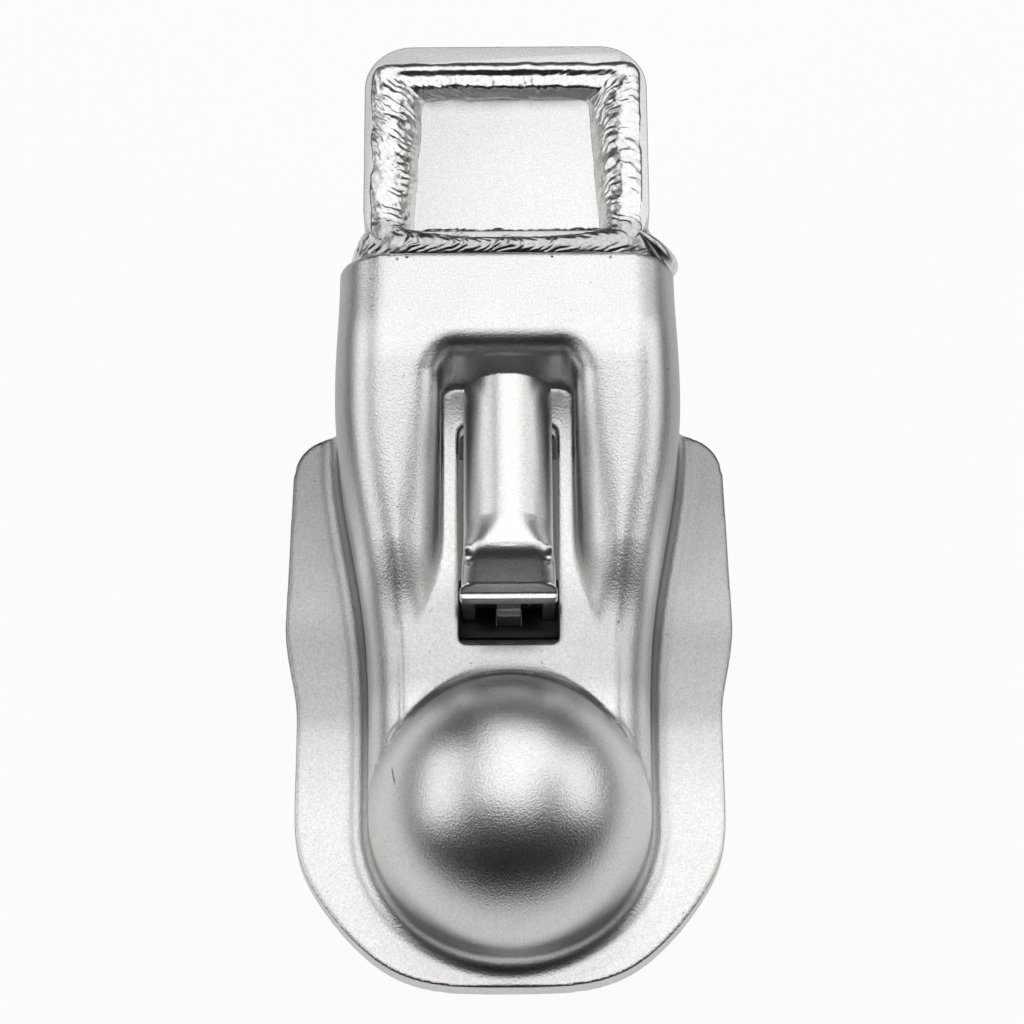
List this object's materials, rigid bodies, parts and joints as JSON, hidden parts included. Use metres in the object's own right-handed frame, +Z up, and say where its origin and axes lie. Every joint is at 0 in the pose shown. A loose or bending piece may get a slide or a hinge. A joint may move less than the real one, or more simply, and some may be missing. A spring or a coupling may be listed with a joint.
{
  "type": "trailer coupling head",
  "caption": "Stamped steel trailer coupler with a domed ball socket, a lift-up latch lever, a hinged ball clamp and an upright mounting tube.",
  "frame": {"origin": "centre of the tow ball when it is held in the socket", "axes": "+Y to the rear, towards the trailer; +Z up; +X to the right seen from the front"},
  "size_m": [0.1194, 0.2508, 0.13],
  "materials": {
    "zinc_plate": "bright zinc plate",
    "weld_metal": "zinc plated weld",
    "bare_steel": "zinc plated, duller",
    "spring_wire": "spring steel wire"
  },
  "bodies": {
    "coupler": {"coupler_body": "zinc_plate", "mount_tube": "zinc_plate", "tube_cap": "zinc_plate", "cap_weld": "weld_metal", "seam_weld": "weld_metal", "upper_bolt_sleeve": "bare_steel", "lower_bolt_sleeve": "bare_steel", "pivot_bracket": "bare_steel", "pivot_pin": "bare_steel", "plunger_guide": "bare_steel", "left_side_plate": "bare_steel", "right_side_plate": "bare_steel", "jaw_pin": "bare_steel", "left_pin_ring": "bare_steel", "right_pin_ring": "bare_steel"},
    "lever": {"latch_lever": "zinc_plate", "drive_pin": "bare_steel", "lever_spring": "spring_wire"},
    "plunger": {"lock_plunger": "bare_steel"},
    "jaw": {"ball_jaw": "bare_steel"}
  },
  "joints": [
    {"name": "lever_lift", "type": "hinge", "parent": "coupler", "child": "lever", "pos_m": [0, 0.1002, 0.0165], "axis": [-1, 0, 0], "range_deg": [0, 12], "stiffness_Nm_per_rad": 1.2, "springref_deg": -8.59, "deforming": ["lever_spring"]},
    {"name": "plunger_slide", "type": "slide", "parent": "coupler", "child": "plunger", "axis": [0, 0, 1], "range_m": [0, 0.00917]},
    {"name": "jaw_swing", "type": "hinge", "parent": "coupler", "child": "jaw", "pos_m": [0, 0.042, 0.0025], "axis": [1, 0, 0], "range_deg": [0, 13]}
  ],
  "couplings": [
    {"joint": "plunger_slide", "follows": "lever_lift", "m_per_rad": 0.04378},
    {"joint": "jaw_swing", "follows": "lever_lift", "ratio": 1.0833}
  ]
}
